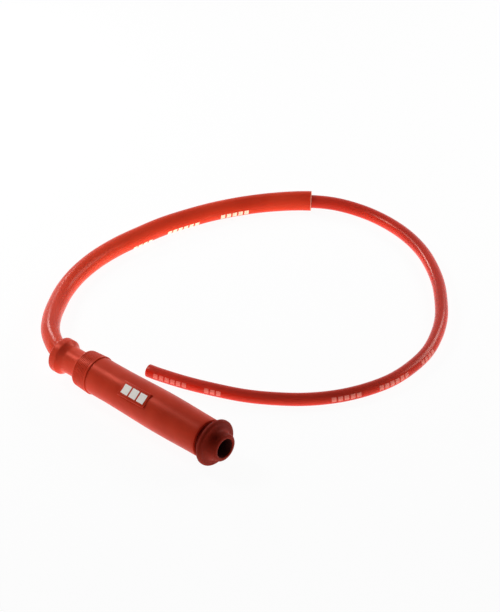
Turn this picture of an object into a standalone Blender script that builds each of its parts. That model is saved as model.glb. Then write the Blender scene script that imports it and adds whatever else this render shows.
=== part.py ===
"""Straight spark plug cap with its sleeved ignition lead, in metres, +Z up.

The cap lies along X with its plug end towards +X, its flange on the floor at z = 0 and
the middle of its length at x = 0. The lead leaves the mouth towards -X, comes down to the
floor and lies there in one open loop towards +Y.
"""

import math

import bmesh
import bpy
from mathutils import Matrix, Vector

MM = 0.001

# Clearances
FIT_GAP = 0.3 * MM                # between neighbours that touch in the real cap
FLOOR_GAP = 0.1 * MM              # under the lead and its sleeve
PLUG_GAP = 0.35 * MM              # around the plug's ceramic, inside the insulator

# Plug seal: a nose, a flange and a spigot that goes into the body
PLUG_OPENING_RADIUS = 5.25 * MM
NOSE_WALL = 2.55 * MM
NOSE_LENGTH = 6.0 * MM
FLANGE_RADIUS = 12.85 * MM
FLANGE_THICKNESS = 2.9 * MM
SEAL_SEAT_DEPTH = 8.0 * MM        # nose end to the insulator's seat
SEAL_SPIGOT_WALL = 1.7 * MM
SEAL_SPIGOT_LENGTH = 5.9 * MM
SEAL_GROOVE_WIDTH = 3.7 * MM      # open groove between flange and body

# Cap body: a bulged sleeve over the insulator
BODY_LENGTH = 79.2 * MM
BODY_FRONT_WALL = 3.35 * MM
BODY_BULGE_WALL = 3.7 * MM
BODY_REAR_WALL = 2.9 * MM
BULGE_FROM_FRONT = 29.1 * MM
TAPER_END_FROM_REAR = 8.0 * MM
REAR_SPIGOT_WALL = 1.6 * MM
REAR_SPIGOT_LENGTH = 6.5 * MM

# Raised flat pad on the body, turned towards -Y and up
PAD_LENGTH = 19.0 * MM
PAD_WIDTH = 8.3 * MM
PAD_RISE = 0.5 * MM
PAD_FROM_FRONT = 46.1 * MM        # body's front face to the middle of the pad
PAD_ANGLE = math.radians(50.0)    # above the horizontal through the axis

# Cable boot: ribbed collar, shoulder, neck and flared mouth
COLLAR_WALL = 1.6 * MM
COLLAR_LENGTH = 9.5 * MM
COLLAR_TAPER = 0.7 * MM           # less radius at the rear end
COLLAR_RIB_COUNT = 5
COLLAR_RIB_PITCH = 1.5 * MM
COLLAR_RIB_HEIGHT = 0.25 * MM
SHOULDER_LENGTH = 1.4 * MM
NECK_WALL = 2.2 * MM
NECK_LENGTH = 9.3 * MM
FLARE_LENGTH = 3.0 * MM
RIM_LENGTH = 4.7 * MM
LIP_WALL = 2.05 * MM
BELL_LENGTH = 9.5 * MM
BELL_CURVE_RADIUS = 20.0 * MM
BOOT_SEAT_DEPTH = 8.2 * MM        # collar's front face to the insulator's seat

# Insulator: one moulded tube, stepped inside
INSULATOR_WALL = 1.4 * MM
PLUG_CHAMBER_LENGTH = 25.7 * MM
TERMINAL_BORE_LENGTH = 20.0 * MM
LEAD_BORE_LENGTH = 9.8 * MM
LOCK_RIB_HEIGHT = 0.8 * MM
LOCK_RIB_LENGTH = 3.0 * MM
LOCK_RIB_FROM_REAR = 8.0 * MM

# Plug terminal: a slotted barrel on a threaded base
TERMINAL_SOCKET_RADIUS = 3.3 * MM
TERMINAL_BARREL_WALL = 0.65 * MM
TERMINAL_BARREL_LENGTH = 13.7 * MM
TERMINAL_BASE_LENGTH = 4.0 * MM
TERMINAL_STUB_RADIUS = 2.4 * MM
TERMINAL_STUB_LENGTH = 2.3 * MM
TERMINAL_SLOT_WIDTH = 0.8 * MM
TERMINAL_SLOT_LENGTH = 9.5 * MM
CLIP_WIRE_RADIUS = 0.35 * MM
CLIP_SETBACK = 3.5 * MM
CLIP_OPENING = math.radians(60.0)

# Resistor and spring
RESISTOR_ROD_RADIUS = 2.6 * MM
END_CAP_WALL = 0.35 * MM
END_CAP_FLOOR = 0.5 * MM
END_CAP_DEPTH = 3.0 * MM
SPRING_LENGTH = 7.7 * MM
SPRING_COIL_RADIUS = 2.0 * MM
SPRING_WIRE_RADIUS = 0.28 * MM
SPRING_TURNS = 6

# Lead, its end ferrule and its outer sleeve
LEAD_RADIUS = 3.5 * MM
SLEEVE_WALL = 1.0 * MM
SLEEVE_LENGTH = 253.0 * MM
FERRULE_WALL = 0.5 * MM
FERRULE_FLOOR = 1.2 * MM
FERRULE_BARREL_LENGTH = 6.8 * MM
FERRULE_BUTTON_RADIUS = 2.6 * MM
FERRULE_BUTTON_LENGTH = 2.3 * MM

# Route of the lead outside the cap: millimetres from the middle of the mouth's rim, with x and y
# along the floor. The third number is the level: 2 at the height of the cap's axis, 1 where the
# sleeve lies on the floor and 0 where the bare lead does.
LEAD_ROUTE = [
    (9.0, 0.0, 2.0), (1.0, 0.9, 1.98), (-6.3, 3.2, 1.93), (-19.5, 11.9, 1.73),
    (-30.4, 23.4, 1.47), (-39.6, 36.3, 1.21), (-47.5, 50.0, 1.04), (-53.0, 65.0, 1.0),
    (-56.0, 81.0, 1.0), (-56.5, 97.0, 1.0), (-55.0, 112.5, 1.0), (-52.5, 128.5, 1.0),
    (-48.0, 144.0, 1.0), (-42.5, 158.5, 1.0), (-35.0, 173.0, 1.0), (-26.0, 186.0, 1.0),
    (-15.0, 198.0, 1.0), (-2.5, 207.5, 0.87), (12.5, 213.5, 0.32), (28.0, 215.5, 0.0),
    (44.0, 214.0, 0.0), (59.5, 209.5, 0.0), (73.5, 202.5, 0.0), (87.0, 193.5, 0.0),
    (99.0, 183.0, 0.0), (110.0, 171.5, 0.0), (119.0, 158.5, 0.0), (126.0, 144.0, 0.0),
    (129.5, 128.5, 0.0), (130.0, 112.5, 0.0), (126.5, 97.0, 0.0), (120.0, 82.5, 0.0),
    (110.5, 69.5, 0.0), (98.5, 58.5, 0.0), (85.5, 49.5, 0.0), (71.0, 42.5, 0.0),
    (56.0, 36.5, 0.0), (41.0, 32.0, 0.0), (34.0, 30.5, 0.0),
]
STATION_SPACING = 14.0 * MM       # between the points of the lead's solid

# Facets
LARGE_STEPS = 32
SMALL_STEPS = 24
SLEEVE_SIDES = 16
FILLET_SEGMENTS = 3
CURVE_SEGMENTS = 5
LEAD_RESOLUTION = 3
CLIP_RESOLUTION = 2
SPRING_RESOLUTION = 1
SPRING_STEPS_PER_TURN = 12
SHARP_ANGLE = math.radians(35.0)  # edges that turn more than this stay sharp

# Edge roundings
FINE_EDGE = 0.4 * MM
FLANGE_EDGE = 1.3 * MM
NOSE_EDGE = 1.3 * MM
NOSE_ROOT_FILLET = 2.2 * MM
COLLAR_EDGE = 1.2 * MM
NECK_FILLET = 1.2 * MM
FLARE_FILLET = 3.0 * MM
RIM_EDGE = 1.6 * MM

# Radii, worked out from the plug opening and the lead outwards
nose_radius = PLUG_OPENING_RADIUS + NOSE_WALL
chamber_radius = PLUG_OPENING_RADIUS + PLUG_GAP
insulator_radius = chamber_radius + INSULATOR_WALL
insulator_socket_radius = insulator_radius + FIT_GAP
seal_spigot_radius = insulator_socket_radius + SEAL_SPIGOT_WALL
body_front_radius = insulator_socket_radius + BODY_FRONT_WALL
body_bulge_radius = insulator_socket_radius + BODY_BULGE_WALL
body_rear_radius = insulator_socket_radius + BODY_REAR_WALL
rear_spigot_radius = insulator_socket_radius + REAR_SPIGOT_WALL
rear_socket_radius = rear_spigot_radius + FIT_GAP
collar_radius = rear_socket_radius + COLLAR_WALL
sleeve_bore_radius = LEAD_RADIUS + FIT_GAP
sleeve_radius = sleeve_bore_radius + SLEEVE_WALL
boot_bore_radius = sleeve_radius + FIT_GAP
neck_radius = boot_bore_radius + NECK_WALL
bell_radius = boot_bore_radius + BELL_CURVE_RADIUS - math.sqrt(BELL_CURVE_RADIUS ** 2 - BELL_LENGTH ** 2)
rim_radius = bell_radius + LIP_WALL
barrel_radius = TERMINAL_SOCKET_RADIUS + TERMINAL_BARREL_WALL
clip_radius = barrel_radius + FIT_GAP + CLIP_WIRE_RADIUS
terminal_bore_radius = clip_radius + CLIP_WIRE_RADIUS + FIT_GAP
end_cap_bore_radius = RESISTOR_ROD_RADIUS + FIT_GAP
end_cap_radius = end_cap_bore_radius + END_CAP_WALL
resistor_bore_radius = end_cap_radius + FIT_GAP
ferrule_radius = sleeve_bore_radius + FERRULE_WALL
lead_bore_radius = ferrule_radius + FIT_GAP
axis_height = max(FLANGE_RADIUS, body_bulge_radius, collar_radius)

# Stations along X, from the plug end at +X to the mouth
cap_length = (
    NOSE_LENGTH + FLANGE_THICKNESS + SEAL_GROOVE_WIDTH + BODY_LENGTH + FIT_GAP
    + COLLAR_LENGTH + SHOULDER_LENGTH + NECK_LENGTH + FLARE_LENGTH + RIM_LENGTH
)
nose_end = cap_length / 2
flange_front = nose_end - NOSE_LENGTH
flange_back = flange_front - FLANGE_THICKNESS
body_front = flange_back - SEAL_GROOVE_WIDTH
body_rear = body_front - BODY_LENGTH
collar_front = body_rear - FIT_GAP
collar_rear = collar_front - COLLAR_LENGTH
neck_front = collar_rear - SHOULDER_LENGTH
neck_rear = neck_front - NECK_LENGTH
rim_front = neck_rear - FLARE_LENGTH
mouth_end = rim_front - RIM_LENGTH
bell_start = mouth_end + BELL_LENGTH

seal_seat = nose_end - SEAL_SEAT_DEPTH
seal_spigot_end = body_front - SEAL_SPIGOT_LENGTH
rear_spigot_end = body_rear - REAR_SPIGOT_LENGTH
boot_seat = collar_front - BOOT_SEAT_DEPTH
insulator_front = seal_seat - FIT_GAP
insulator_rear = boot_seat + FIT_GAP
chamber_end = insulator_front - PLUG_CHAMBER_LENGTH
terminal_step = chamber_end - TERMINAL_BORE_LENGTH
lead_step = insulator_rear + LEAD_BORE_LENGTH
lock_rib_rear = body_rear + LOCK_RIB_FROM_REAR
lock_rib_front = lock_rib_rear + LOCK_RIB_LENGTH

terminal_base_rear = terminal_step + FIT_GAP
terminal_base_front = terminal_base_rear + TERMINAL_BASE_LENGTH
barrel_front = terminal_base_front + TERMINAL_BARREL_LENGTH
terminal_stub_end = terminal_base_rear - TERMINAL_STUB_LENGTH
ferrule_front = lead_step - FIT_GAP
ferrule_floor = ferrule_front - FERRULE_FLOOR
ferrule_rear = ferrule_floor - FERRULE_BARREL_LENGTH
ferrule_button_end = ferrule_front + FERRULE_BUTTON_LENGTH
lead_start = ferrule_floor - FIT_GAP
spring_rear = ferrule_button_end + FIT_GAP
spring_front = spring_rear + SPRING_LENGTH
rear_cap_back = spring_front + FIT_GAP
front_cap_front = terminal_stub_end - FIT_GAP
rod_rear = rear_cap_back + END_CAP_FLOOR + FIT_GAP
rod_front = front_cap_front - END_CAP_FLOOR - FIT_GAP


def clear_scene():
    for item in list(bpy.data.objects):
        bpy.data.objects.remove(item, do_unlink=True)


def srgb(red, green, blue):
    """Turn a colour written as 0 to 255 on the screen into Blender's linear values."""
    def linear(value):
        share = value / 255
        return share / 12.92 if share <= 0.04045 else ((share + 0.055) / 1.055) ** 2.4
    return (linear(red), linear(green), linear(blue), 1.0)


def make_material(name, colour, roughness, metallic=0.0):
    material = bpy.data.materials.new(name)
    material.use_nodes = True
    shader = material.node_tree.nodes["Principled BSDF"]
    shader.inputs["Base Color"].default_value = colour
    shader.inputs["Roughness"].default_value = roughness
    shader.inputs["Metallic"].default_value = metallic
    return material


def add_object(name, data, material=None):
    item = bpy.data.objects.new(name, data)
    if material:
        data.materials.append(material)
    bpy.context.scene.collection.objects.link(item)
    return item


def rounded(corners):
    """Round the corners of an outline given as (x, radius from the axis, fillet radius)."""
    points = []
    count = len(corners)
    for index, (x, r, fillet) in enumerate(corners):
        corner = Vector((x, r))
        if fillet <= 0:
            points.append(corner)
            continue
        to_last = Vector(corners[index - 1][:2]) - corner
        to_next = Vector(corners[(index + 1) % count][:2]) - corner
        half_angle = to_last.angle(to_next) / 2
        reach = min(fillet / math.tan(half_angle), 0.45 * to_last.length, 0.45 * to_next.length)
        radius = reach * math.tan(half_angle)
        middle = (to_last.normalized() + to_next.normalized()).normalized()
        centre = corner + middle * (radius / math.sin(half_angle))
        start = corner + to_last.normalized() * reach - centre
        end = corner + to_next.normalized() * reach - centre
        turn = start.angle_signed(end)
        for step in range(FILLET_SEGMENTS + 1):
            points.append(centre + Matrix.Rotation(-turn * step / FILLET_SEGMENTS, 2) @ start)
    return points


def turned(name, outline, material, steps=LARGE_STEPS):
    """Spin an outline of (x, radius) points around the cap's axis into one closed solid."""
    mesh = bmesh.new()
    verts = [mesh.verts.new((x, 0, -r)) for x, r in outline]
    for index, vert in enumerate(verts):
        following = verts[(index + 1) % len(verts)]
        if vert.co.z or following.co.z:
            mesh.edges.new((vert, following))
    bmesh.ops.spin(
        mesh, geom=mesh.verts[:] + mesh.edges[:], cent=(0, 0, 0), axis=(1, 0, 0),
        angle=2 * math.pi, steps=steps, use_merge=True,
    )
    bmesh.ops.remove_doubles(mesh, verts=mesh.verts[:], dist=0.000001)
    bmesh.ops.recalc_face_normals(mesh, faces=mesh.faces[:])
    data = bpy.data.meshes.new(name)
    mesh.to_mesh(data)
    mesh.free()
    data.shade_smooth()
    data.set_sharp_from_angle(angle=SHARP_ANGLE)
    item = add_object(name, data, material)
    item.location = (0, 0, axis_height)
    return item


def add_boolean(item, other, operation):
    """Cut or join an object with another one that stays hidden from the render."""
    other.hide_render = True
    other.display_type = "WIRE"
    modifier = item.modifiers.new(operation.title(), "BOOLEAN")
    modifier.operation = operation
    modifier.object = other


def add_box(name, size, centre, angle, edge=0.0):
    """A box around the cap's axis: size and centre along X, across and outwards from the axis."""
    mesh = bmesh.new()
    bmesh.ops.create_cube(mesh, size=1.0, matrix=Matrix.Diagonal((*size, 1.0)))
    if edge:
        top = [one for one in mesh.edges if all(vert.co.z > 0 for vert in one.verts)]
        bmesh.ops.bevel(mesh, geom=top, offset=edge, segments=2, profile=0.5, affect="EDGES")
    bmesh.ops.translate(mesh, verts=mesh.verts[:], vec=centre)
    data = bpy.data.meshes.new(name)
    mesh.to_mesh(data)
    mesh.free()
    item = add_object(name, data)
    item.location = (0, 0, axis_height)
    item.rotation_euler = (angle, 0, 0)
    return item


def add_wire(name, points, radius, material, resolution):
    """A wire or lead as a curve through points, with closed ends."""
    curve = bpy.data.curves.new(name, "CURVE")
    curve.dimensions = "3D"
    curve.bevel_depth = radius
    curve.bevel_resolution = resolution
    curve.use_fill_caps = True
    spline = curve.splines.new("POLY")
    spline.points.add(len(points) - 1)
    for place, point in zip(spline.points, points):
        place.co = (*point, 1.0)
    return add_object(name, curve, material)


def body_surface_radius(from_front):
    """Outer radius of the cap body at a distance behind its front face."""
    taper_end = BODY_LENGTH - TAPER_END_FROM_REAR
    if from_front < BULGE_FROM_FRONT:
        low, high = body_front_radius, body_bulge_radius
        share = from_front / BULGE_FROM_FRONT
    else:
        low, high = body_rear_radius, body_bulge_radius
        share = (taper_end - from_front) / (taper_end - BULGE_FROM_FRONT)
    share = max(0.0, share)
    return low + (high - low) * (1 - math.cos(math.pi * share)) / 2


def make_cap_body(material):
    counterbore = seal_spigot_radius + FIT_GAP
    counterbore_end = seal_spigot_end - FIT_GAP
    groove_radius = insulator_socket_radius + LOCK_RIB_HEIGHT
    taper_end = BODY_LENGTH - TAPER_END_FROM_REAR
    distances = [BULGE_FROM_FRONT * step / CURVE_SEGMENTS for step in range(1, CURVE_SEGMENTS)]
    distances += [
        BULGE_FROM_FRONT + (taper_end - BULGE_FROM_FRONT) * step / CURVE_SEGMENTS
        for step in range(CURVE_SEGMENTS + 1)
    ]
    curve = [(body_front - distance, body_surface_radius(distance), 0) for distance in distances]
    outline = rounded([
        (body_front, counterbore, 0),
        (body_front, body_front_radius, FINE_EDGE),
        *curve,
        (body_rear, body_rear_radius, 0),
        (body_rear, rear_spigot_radius, 0),
        (rear_spigot_end, rear_spigot_radius, FINE_EDGE),
        (rear_spigot_end, insulator_socket_radius, 0),
        (lock_rib_rear - FIT_GAP, insulator_socket_radius, 0),
        (lock_rib_rear - FIT_GAP, groove_radius, 0),
        (lock_rib_front + FIT_GAP, groove_radius, 0),
        (lock_rib_front + FIT_GAP, insulator_socket_radius, 0),
        (counterbore_end, insulator_socket_radius, 0),
        (counterbore_end, counterbore, 0),
    ])
    body = turned("cap_body", outline, material)
    pad_top = body_surface_radius(PAD_FROM_FRONT) + PAD_RISE
    pad_foot = insulator_socket_radius + LOCK_RIB_HEIGHT + FIT_GAP
    pad = add_box(
        "pad_block",
        size=(PAD_LENGTH, PAD_WIDTH, pad_top - pad_foot),
        centre=(body_front - PAD_FROM_FRONT, 0, (pad_top + pad_foot) / 2),
        angle=math.pi / 2 - PAD_ANGLE,
        edge=FINE_EDGE / 2,
    )
    add_boolean(body, pad, "UNION")


def make_cable_boot(material):
    rib_start = collar_front - (COLLAR_LENGTH - (COLLAR_RIB_COUNT - 1) * COLLAR_RIB_PITCH) / 2
    rib_foot = COLLAR_RIB_PITCH / 3
    ribs = []
    for index in range(COLLAR_RIB_COUNT):
        crest = rib_start - index * COLLAR_RIB_PITCH
        crest_radius = collar_radius - COLLAR_TAPER * (collar_front - crest) / COLLAR_LENGTH
        ribs.append((crest + rib_foot, crest_radius - COLLAR_RIB_HEIGHT, 0))
        ribs.append((crest, crest_radius, 0))
        ribs.append((crest - rib_foot, crest_radius - COLLAR_RIB_HEIGHT, 0))
    bell = []
    for step in range(CURVE_SEGMENTS):
        distance = BELL_LENGTH * (1 - step / CURVE_SEGMENTS)
        rise = BELL_CURVE_RADIUS - math.sqrt(BELL_CURVE_RADIUS ** 2 - distance ** 2)
        edge = FINE_EDGE if step == 0 else 0
        bell.append((bell_start - distance, boot_bore_radius + rise, edge))
    outline = rounded([
        (collar_front, rear_socket_radius, 0),
        (collar_front, collar_radius, FINE_EDGE),
        *ribs,
        (collar_rear, collar_radius - COLLAR_TAPER, COLLAR_EDGE),
        (neck_front, neck_radius, NECK_FILLET),
        (neck_rear, neck_radius, FLARE_FILLET),
        (rim_front, rim_radius, RIM_EDGE),
        (mouth_end, rim_radius, RIM_EDGE),
        *bell,
        (bell_start, boot_bore_radius, 0),
        (boot_seat, boot_bore_radius, 0),
        (boot_seat, insulator_socket_radius, 0),
        (rear_spigot_end - FIT_GAP, insulator_socket_radius, 0),
        (rear_spigot_end - FIT_GAP, rear_socket_radius, 0),
    ])
    turned("cable_boot", outline, material)


def make_plug_seal(material):
    outline = rounded([
        (nose_end, PLUG_OPENING_RADIUS, FINE_EDGE),
        (nose_end, nose_radius, NOSE_EDGE),
        (flange_front, nose_radius, NOSE_ROOT_FILLET),
        (flange_front, FLANGE_RADIUS, FLANGE_EDGE),
        (flange_back, FLANGE_RADIUS, FLANGE_EDGE),
        (flange_back, seal_spigot_radius, 0),
        (seal_spigot_end, seal_spigot_radius, FINE_EDGE),
        (seal_spigot_end, insulator_socket_radius, 0),
        (seal_seat, insulator_socket_radius, 0),
        (seal_seat, PLUG_OPENING_RADIUS, 0),
    ])
    turned("plug_seal", outline, material)


def make_insulator(material):
    lock_radius = insulator_radius + LOCK_RIB_HEIGHT
    outline = rounded([
        (insulator_front, chamber_radius, FINE_EDGE),
        (insulator_front, insulator_radius, FINE_EDGE),
        (lock_rib_front, insulator_radius, 0),
        (lock_rib_front, lock_radius, 0),
        (lock_rib_rear, lock_radius, 0),
        (lock_rib_rear, insulator_radius, 0),
        (insulator_rear, insulator_radius, FINE_EDGE),
        (insulator_rear, lead_bore_radius, 0),
        (lead_step, lead_bore_radius, 0),
        (lead_step, resistor_bore_radius, 0),
        (terminal_step, resistor_bore_radius, 0),
        (terminal_step, terminal_bore_radius, 0),
        (chamber_end, terminal_bore_radius, 0),
        (chamber_end, chamber_radius, 0),
    ])
    turned("insulator", outline, material)


def make_plug_terminal(material):
    thread_radius = terminal_bore_radius - FIT_GAP
    socket_floor = terminal_base_front + TERMINAL_BARREL_WALL
    outline = [
        (socket_floor, 0),
        (socket_floor, TERMINAL_SOCKET_RADIUS),
        (barrel_front, TERMINAL_SOCKET_RADIUS),
        (barrel_front, barrel_radius),
        (terminal_base_front, barrel_radius),
        (terminal_base_front, thread_radius),
        (terminal_base_rear, thread_radius),
        (terminal_base_rear, TERMINAL_STUB_RADIUS),
        (terminal_stub_end, TERMINAL_STUB_RADIUS),
        (terminal_stub_end, 0),
    ]
    terminal = turned("plug_terminal", outline, material, SMALL_STEPS)
    slot_length = TERMINAL_SLOT_LENGTH + FIT_GAP
    for number, angle in enumerate((0.0, math.pi / 2), start=1):
        slot = add_box(
            f"slot_cutter_{number}",
            size=(slot_length, TERMINAL_SLOT_WIDTH, 2 * terminal_bore_radius),
            centre=(barrel_front + FIT_GAP - slot_length / 2, 0, 0),
            angle=angle + math.pi / SMALL_STEPS,
        )
        add_boolean(terminal, slot, "DIFFERENCE")


def make_terminal_clip(material):
    count = SMALL_STEPS
    x = barrel_front - CLIP_SETBACK
    points = []
    for step in range(count + 1):
        angle = CLIP_OPENING / 2 + (2 * math.pi - CLIP_OPENING) * step / count
        points.append((x, clip_radius * math.sin(angle), axis_height + clip_radius * math.cos(angle)))
    add_wire("terminal_clip", points, CLIP_WIRE_RADIUS, material, CLIP_RESOLUTION)


def make_resistor(rod_material, cap_material):
    rod = [(rod_front, 0), (rod_front, RESISTOR_ROD_RADIUS), (rod_rear, RESISTOR_ROD_RADIUS), (rod_rear, 0)]
    turned("resistor_rod", rod, rod_material, SMALL_STEPS)
    for name, outer, side in (("front_end_cap", front_cap_front, -1), ("rear_end_cap", rear_cap_back, 1)):
        inner = outer + side * END_CAP_FLOOR
        lip = inner + side * END_CAP_DEPTH
        outline = [
            (outer, 0), (outer, end_cap_radius), (lip, end_cap_radius),
            (lip, end_cap_bore_radius), (inner, end_cap_bore_radius), (inner, 0),
        ]
        turned(name, outline, cap_material, SMALL_STEPS)


def make_contact_spring(material):
    travel = SPRING_LENGTH - 2 * SPRING_WIRE_RADIUS
    count = SPRING_TURNS * SPRING_STEPS_PER_TURN
    points = []
    for step in range(count + 1):
        angle = 2 * math.pi * step / SPRING_STEPS_PER_TURN
        x = spring_rear + SPRING_WIRE_RADIUS + travel * step / count
        points.append((
            x,
            SPRING_COIL_RADIUS * math.sin(angle),
            axis_height + SPRING_COIL_RADIUS * math.cos(angle),
        ))
    add_wire("contact_spring", points, SPRING_WIRE_RADIUS, material, SPRING_RESOLUTION)


def make_lead_ferrule(material):
    outline = [
        (ferrule_button_end, 0),
        (ferrule_button_end, FERRULE_BUTTON_RADIUS),
        (ferrule_front, FERRULE_BUTTON_RADIUS),
        (ferrule_front, ferrule_radius),
        (ferrule_rear, ferrule_radius),
        (ferrule_rear, sleeve_bore_radius),
        (ferrule_floor, sleeve_bore_radius),
        (ferrule_floor, 0),
    ]
    turned("lead_ferrule", outline, material, SMALL_STEPS)


def level_height(level):
    """Height of the lead's middle: 0 bare on the floor, 1 sleeved on the floor, 2 at the cap's axis."""
    bare = LEAD_RADIUS + FLOOR_GAP
    sleeved = sleeve_radius + FLOOR_GAP
    if level < 1:
        return bare + (sleeved - bare) * level
    return sleeved + (axis_height - sleeved) * (level - 1)


def smooth_path(points, spacing):
    """Read a Catmull-Rom curve through the points at even steps along its length."""
    ends = [2 * points[0] - points[1], *points, 2 * points[-1] - points[-2]]
    fine = []
    per_span = 24
    for before, start, end, after in zip(ends, ends[1:], ends[2:], ends[3:]):
        for step in range(per_span):
            t = step / per_span
            fine.append(0.5 * (
                2 * start + (end - before) * t
                + (2 * before - 5 * start + 4 * end - after) * t ** 2
                + (3 * start - before - 3 * end + after) * t ** 3
            ))
    fine.append(points[-1])
    lengths = [0.0]
    for last, here in zip(fine, fine[1:]):
        lengths.append(lengths[-1] + (here - last).length)
    count = round(lengths[-1] / spacing)
    path = []
    index = 0
    for step in range(count + 1):
        target = lengths[-1] * step / count
        while index < len(lengths) - 2 and lengths[index + 1] < target:
            index += 1
        share = (target - lengths[index]) / (lengths[index + 1] - lengths[index])
        path.append(fine[index].lerp(fine[index + 1], share))
    return path


def lead_stations():
    """Points of the lead: straight from the ferrule to the bell, then along its route."""
    route = [
        Vector((mouth_end + x * MM, y * MM, level_height(level))) for x, y, level in LEAD_ROUTE
    ]
    straight = [Vector((x, 0, axis_height)) for x in (lead_start, boot_seat)]
    return straight + smooth_path(route, STATION_SPACING)


def cut_to_length(path, length):
    """The stretch of a path from its first point on, ended at a length along it."""
    kept = [path[0]]
    left = length
    for last, here in zip(path, path[1:]):
        run = (here - last).length
        if run >= left:
            kept.append(last.lerp(here, left / run))
            return kept
        kept.append(here)
        left -= run
    return kept


def make_lead_sleeve(path, material):
    """An open-ended tube around the lead, from the insulator's end to its own cut end."""
    mesh = bmesh.new()
    rings = []
    for index, place in enumerate(path):
        ahead = path[min(index + 1, len(path) - 1)] - place
        behind = place - path[max(index - 1, 0)]
        along = (ahead.normalized() + behind.normalized()).normalized()
        across = along.cross(Vector((0, 0, 1))).normalized()
        upwards = across.cross(along)
        for radius in (sleeve_radius, sleeve_bore_radius):
            ring = []
            for side in range(SLEEVE_SIDES):
                angle = 2 * math.pi * side / SLEEVE_SIDES
                offset = across * (radius * math.cos(angle)) + upwards * (radius * math.sin(angle))
                ring.append(mesh.verts.new(place + offset))
            rings.append(ring)
    outer, inner = rings[0::2], rings[1::2]
    strips = list(zip(outer, outer[1:])) + list(zip(inner, inner[1:]))
    strips += [(outer[0], inner[0]), (outer[-1], inner[-1])]
    for first, second in strips:
        for side in range(SLEEVE_SIDES):
            after = (side + 1) % SLEEVE_SIDES
            mesh.faces.new((first[side], first[after], second[after], second[side]))
    bmesh.ops.recalc_face_normals(mesh, faces=mesh.faces[:])
    data = bpy.data.meshes.new("lead_sleeve")
    mesh.to_mesh(data)
    mesh.free()
    data.shade_smooth()
    data.set_sharp_from_angle(angle=SHARP_ANGLE)
    add_object("lead_sleeve", data, material)


def make_lead(stations, material):
    add_wire("lead", stations, LEAD_RADIUS, material, LEAD_RESOLUTION)


def main():
    clear_scene()
    matte_red = make_material("matte_red_silicone", srgb(158, 44, 32), 0.62)
    sleeve_red = make_material("sleeve_red_silicone", srgb(196, 56, 38), 0.42)
    lead_red = make_material("lead_red_silicone", srgb(190, 38, 22), 0.28)
    phenolic = make_material("black_phenolic", srgb(28, 24, 23), 0.45)
    brass = make_material("brass", srgb(196, 160, 84), 0.3, 1.0)
    steel = make_material("spring_steel", srgb(176, 178, 180), 0.28, 1.0)
    ceramic = make_material("resistor_ceramic", srgb(214, 204, 186), 0.5)
    make_cap_body(matte_red)
    make_cable_boot(matte_red)
    make_plug_seal(matte_red)
    make_insulator(phenolic)
    make_plug_terminal(brass)
    make_terminal_clip(steel)
    make_resistor(ceramic, steel)
    make_contact_spring(steel)
    make_lead_ferrule(brass)
    stations = lead_stations()
    make_lead_sleeve(cut_to_length(stations[1:], SLEEVE_LENGTH), sleeve_red)
    make_lead(stations, lead_red)


main()
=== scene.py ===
import math

import bmesh
import bpy
from mathutils import Matrix, Vector


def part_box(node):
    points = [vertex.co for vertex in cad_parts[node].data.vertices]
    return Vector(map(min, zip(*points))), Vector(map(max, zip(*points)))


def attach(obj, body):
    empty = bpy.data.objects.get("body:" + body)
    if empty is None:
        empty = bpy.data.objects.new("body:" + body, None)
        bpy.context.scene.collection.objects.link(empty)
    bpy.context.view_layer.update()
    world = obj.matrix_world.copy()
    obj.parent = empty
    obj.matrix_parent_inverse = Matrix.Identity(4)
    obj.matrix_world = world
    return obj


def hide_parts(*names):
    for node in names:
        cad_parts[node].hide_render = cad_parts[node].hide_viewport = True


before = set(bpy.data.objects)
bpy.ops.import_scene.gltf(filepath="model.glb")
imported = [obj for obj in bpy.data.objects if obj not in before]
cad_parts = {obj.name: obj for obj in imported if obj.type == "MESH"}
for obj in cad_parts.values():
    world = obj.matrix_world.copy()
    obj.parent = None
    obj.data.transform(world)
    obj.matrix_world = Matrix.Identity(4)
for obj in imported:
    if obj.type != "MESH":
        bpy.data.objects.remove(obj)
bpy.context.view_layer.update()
bpy.ops.object.select_all(action="DESELECT")

mm = 0.001
sealLow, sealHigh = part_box("plug_seal")
noseEnd = sealHigh.x                          # plug end of the cap
axisHeight = (sealLow.z + sealHigh.z) / 2     # the cap's axis, which runs along X


# Nodes that the materials share

noiseMiddle = (0.3, 0.7)      # where most of a noise's values lie


def screenColour(red, green, blue):
    # A colour as it reads on the screen, 0 to 255, in Blender's linear values
    linear = []
    for value in (red, green, blue):
        share = value / 255
        linear.append(share / 12.92 if share <= 0.04045 else ((share + 0.055) / 1.055) ** 2.4)
    return (*linear, 1)


def grey(level):
    return (level, level, level, 1)


def startMaterial(name):
    material = bpy.data.materials.new(name)
    material.use_nodes = True
    nodes = material.node_tree.nodes
    shader = nodes["Principled BSDF"]
    place = nodes.new("ShaderNodeTexCoord")
    return material, nodes, material.node_tree.links, shader, place


def addNoise(nodes, links, place, scale, detail, stretch=None):
    noise = nodes.new("ShaderNodeTexNoise")
    noise.inputs["Scale"].default_value = scale
    noise.inputs["Detail"].default_value = detail
    if stretch:
        mapping = nodes.new("ShaderNodeMapping")
        mapping.inputs["Scale"].default_value = stretch
        links.new(place.outputs["Object"], mapping.inputs["Vector"])
        links.new(mapping.outputs["Vector"], noise.inputs["Vector"])
    else:
        links.new(place.outputs["Object"], noise.inputs["Vector"])
    return noise


def addRamp(nodes, links, source, stops):
    ramp = nodes.new("ShaderNodeValToRGB")
    elements = ramp.color_ramp.elements
    while len(elements) < len(stops):
        elements.new(0.5)
    for element, (position, colour) in zip(elements, stops):
        element.position = position
        element.color = colour
    links.new(source, ramp.inputs["Fac"])
    return ramp


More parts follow.
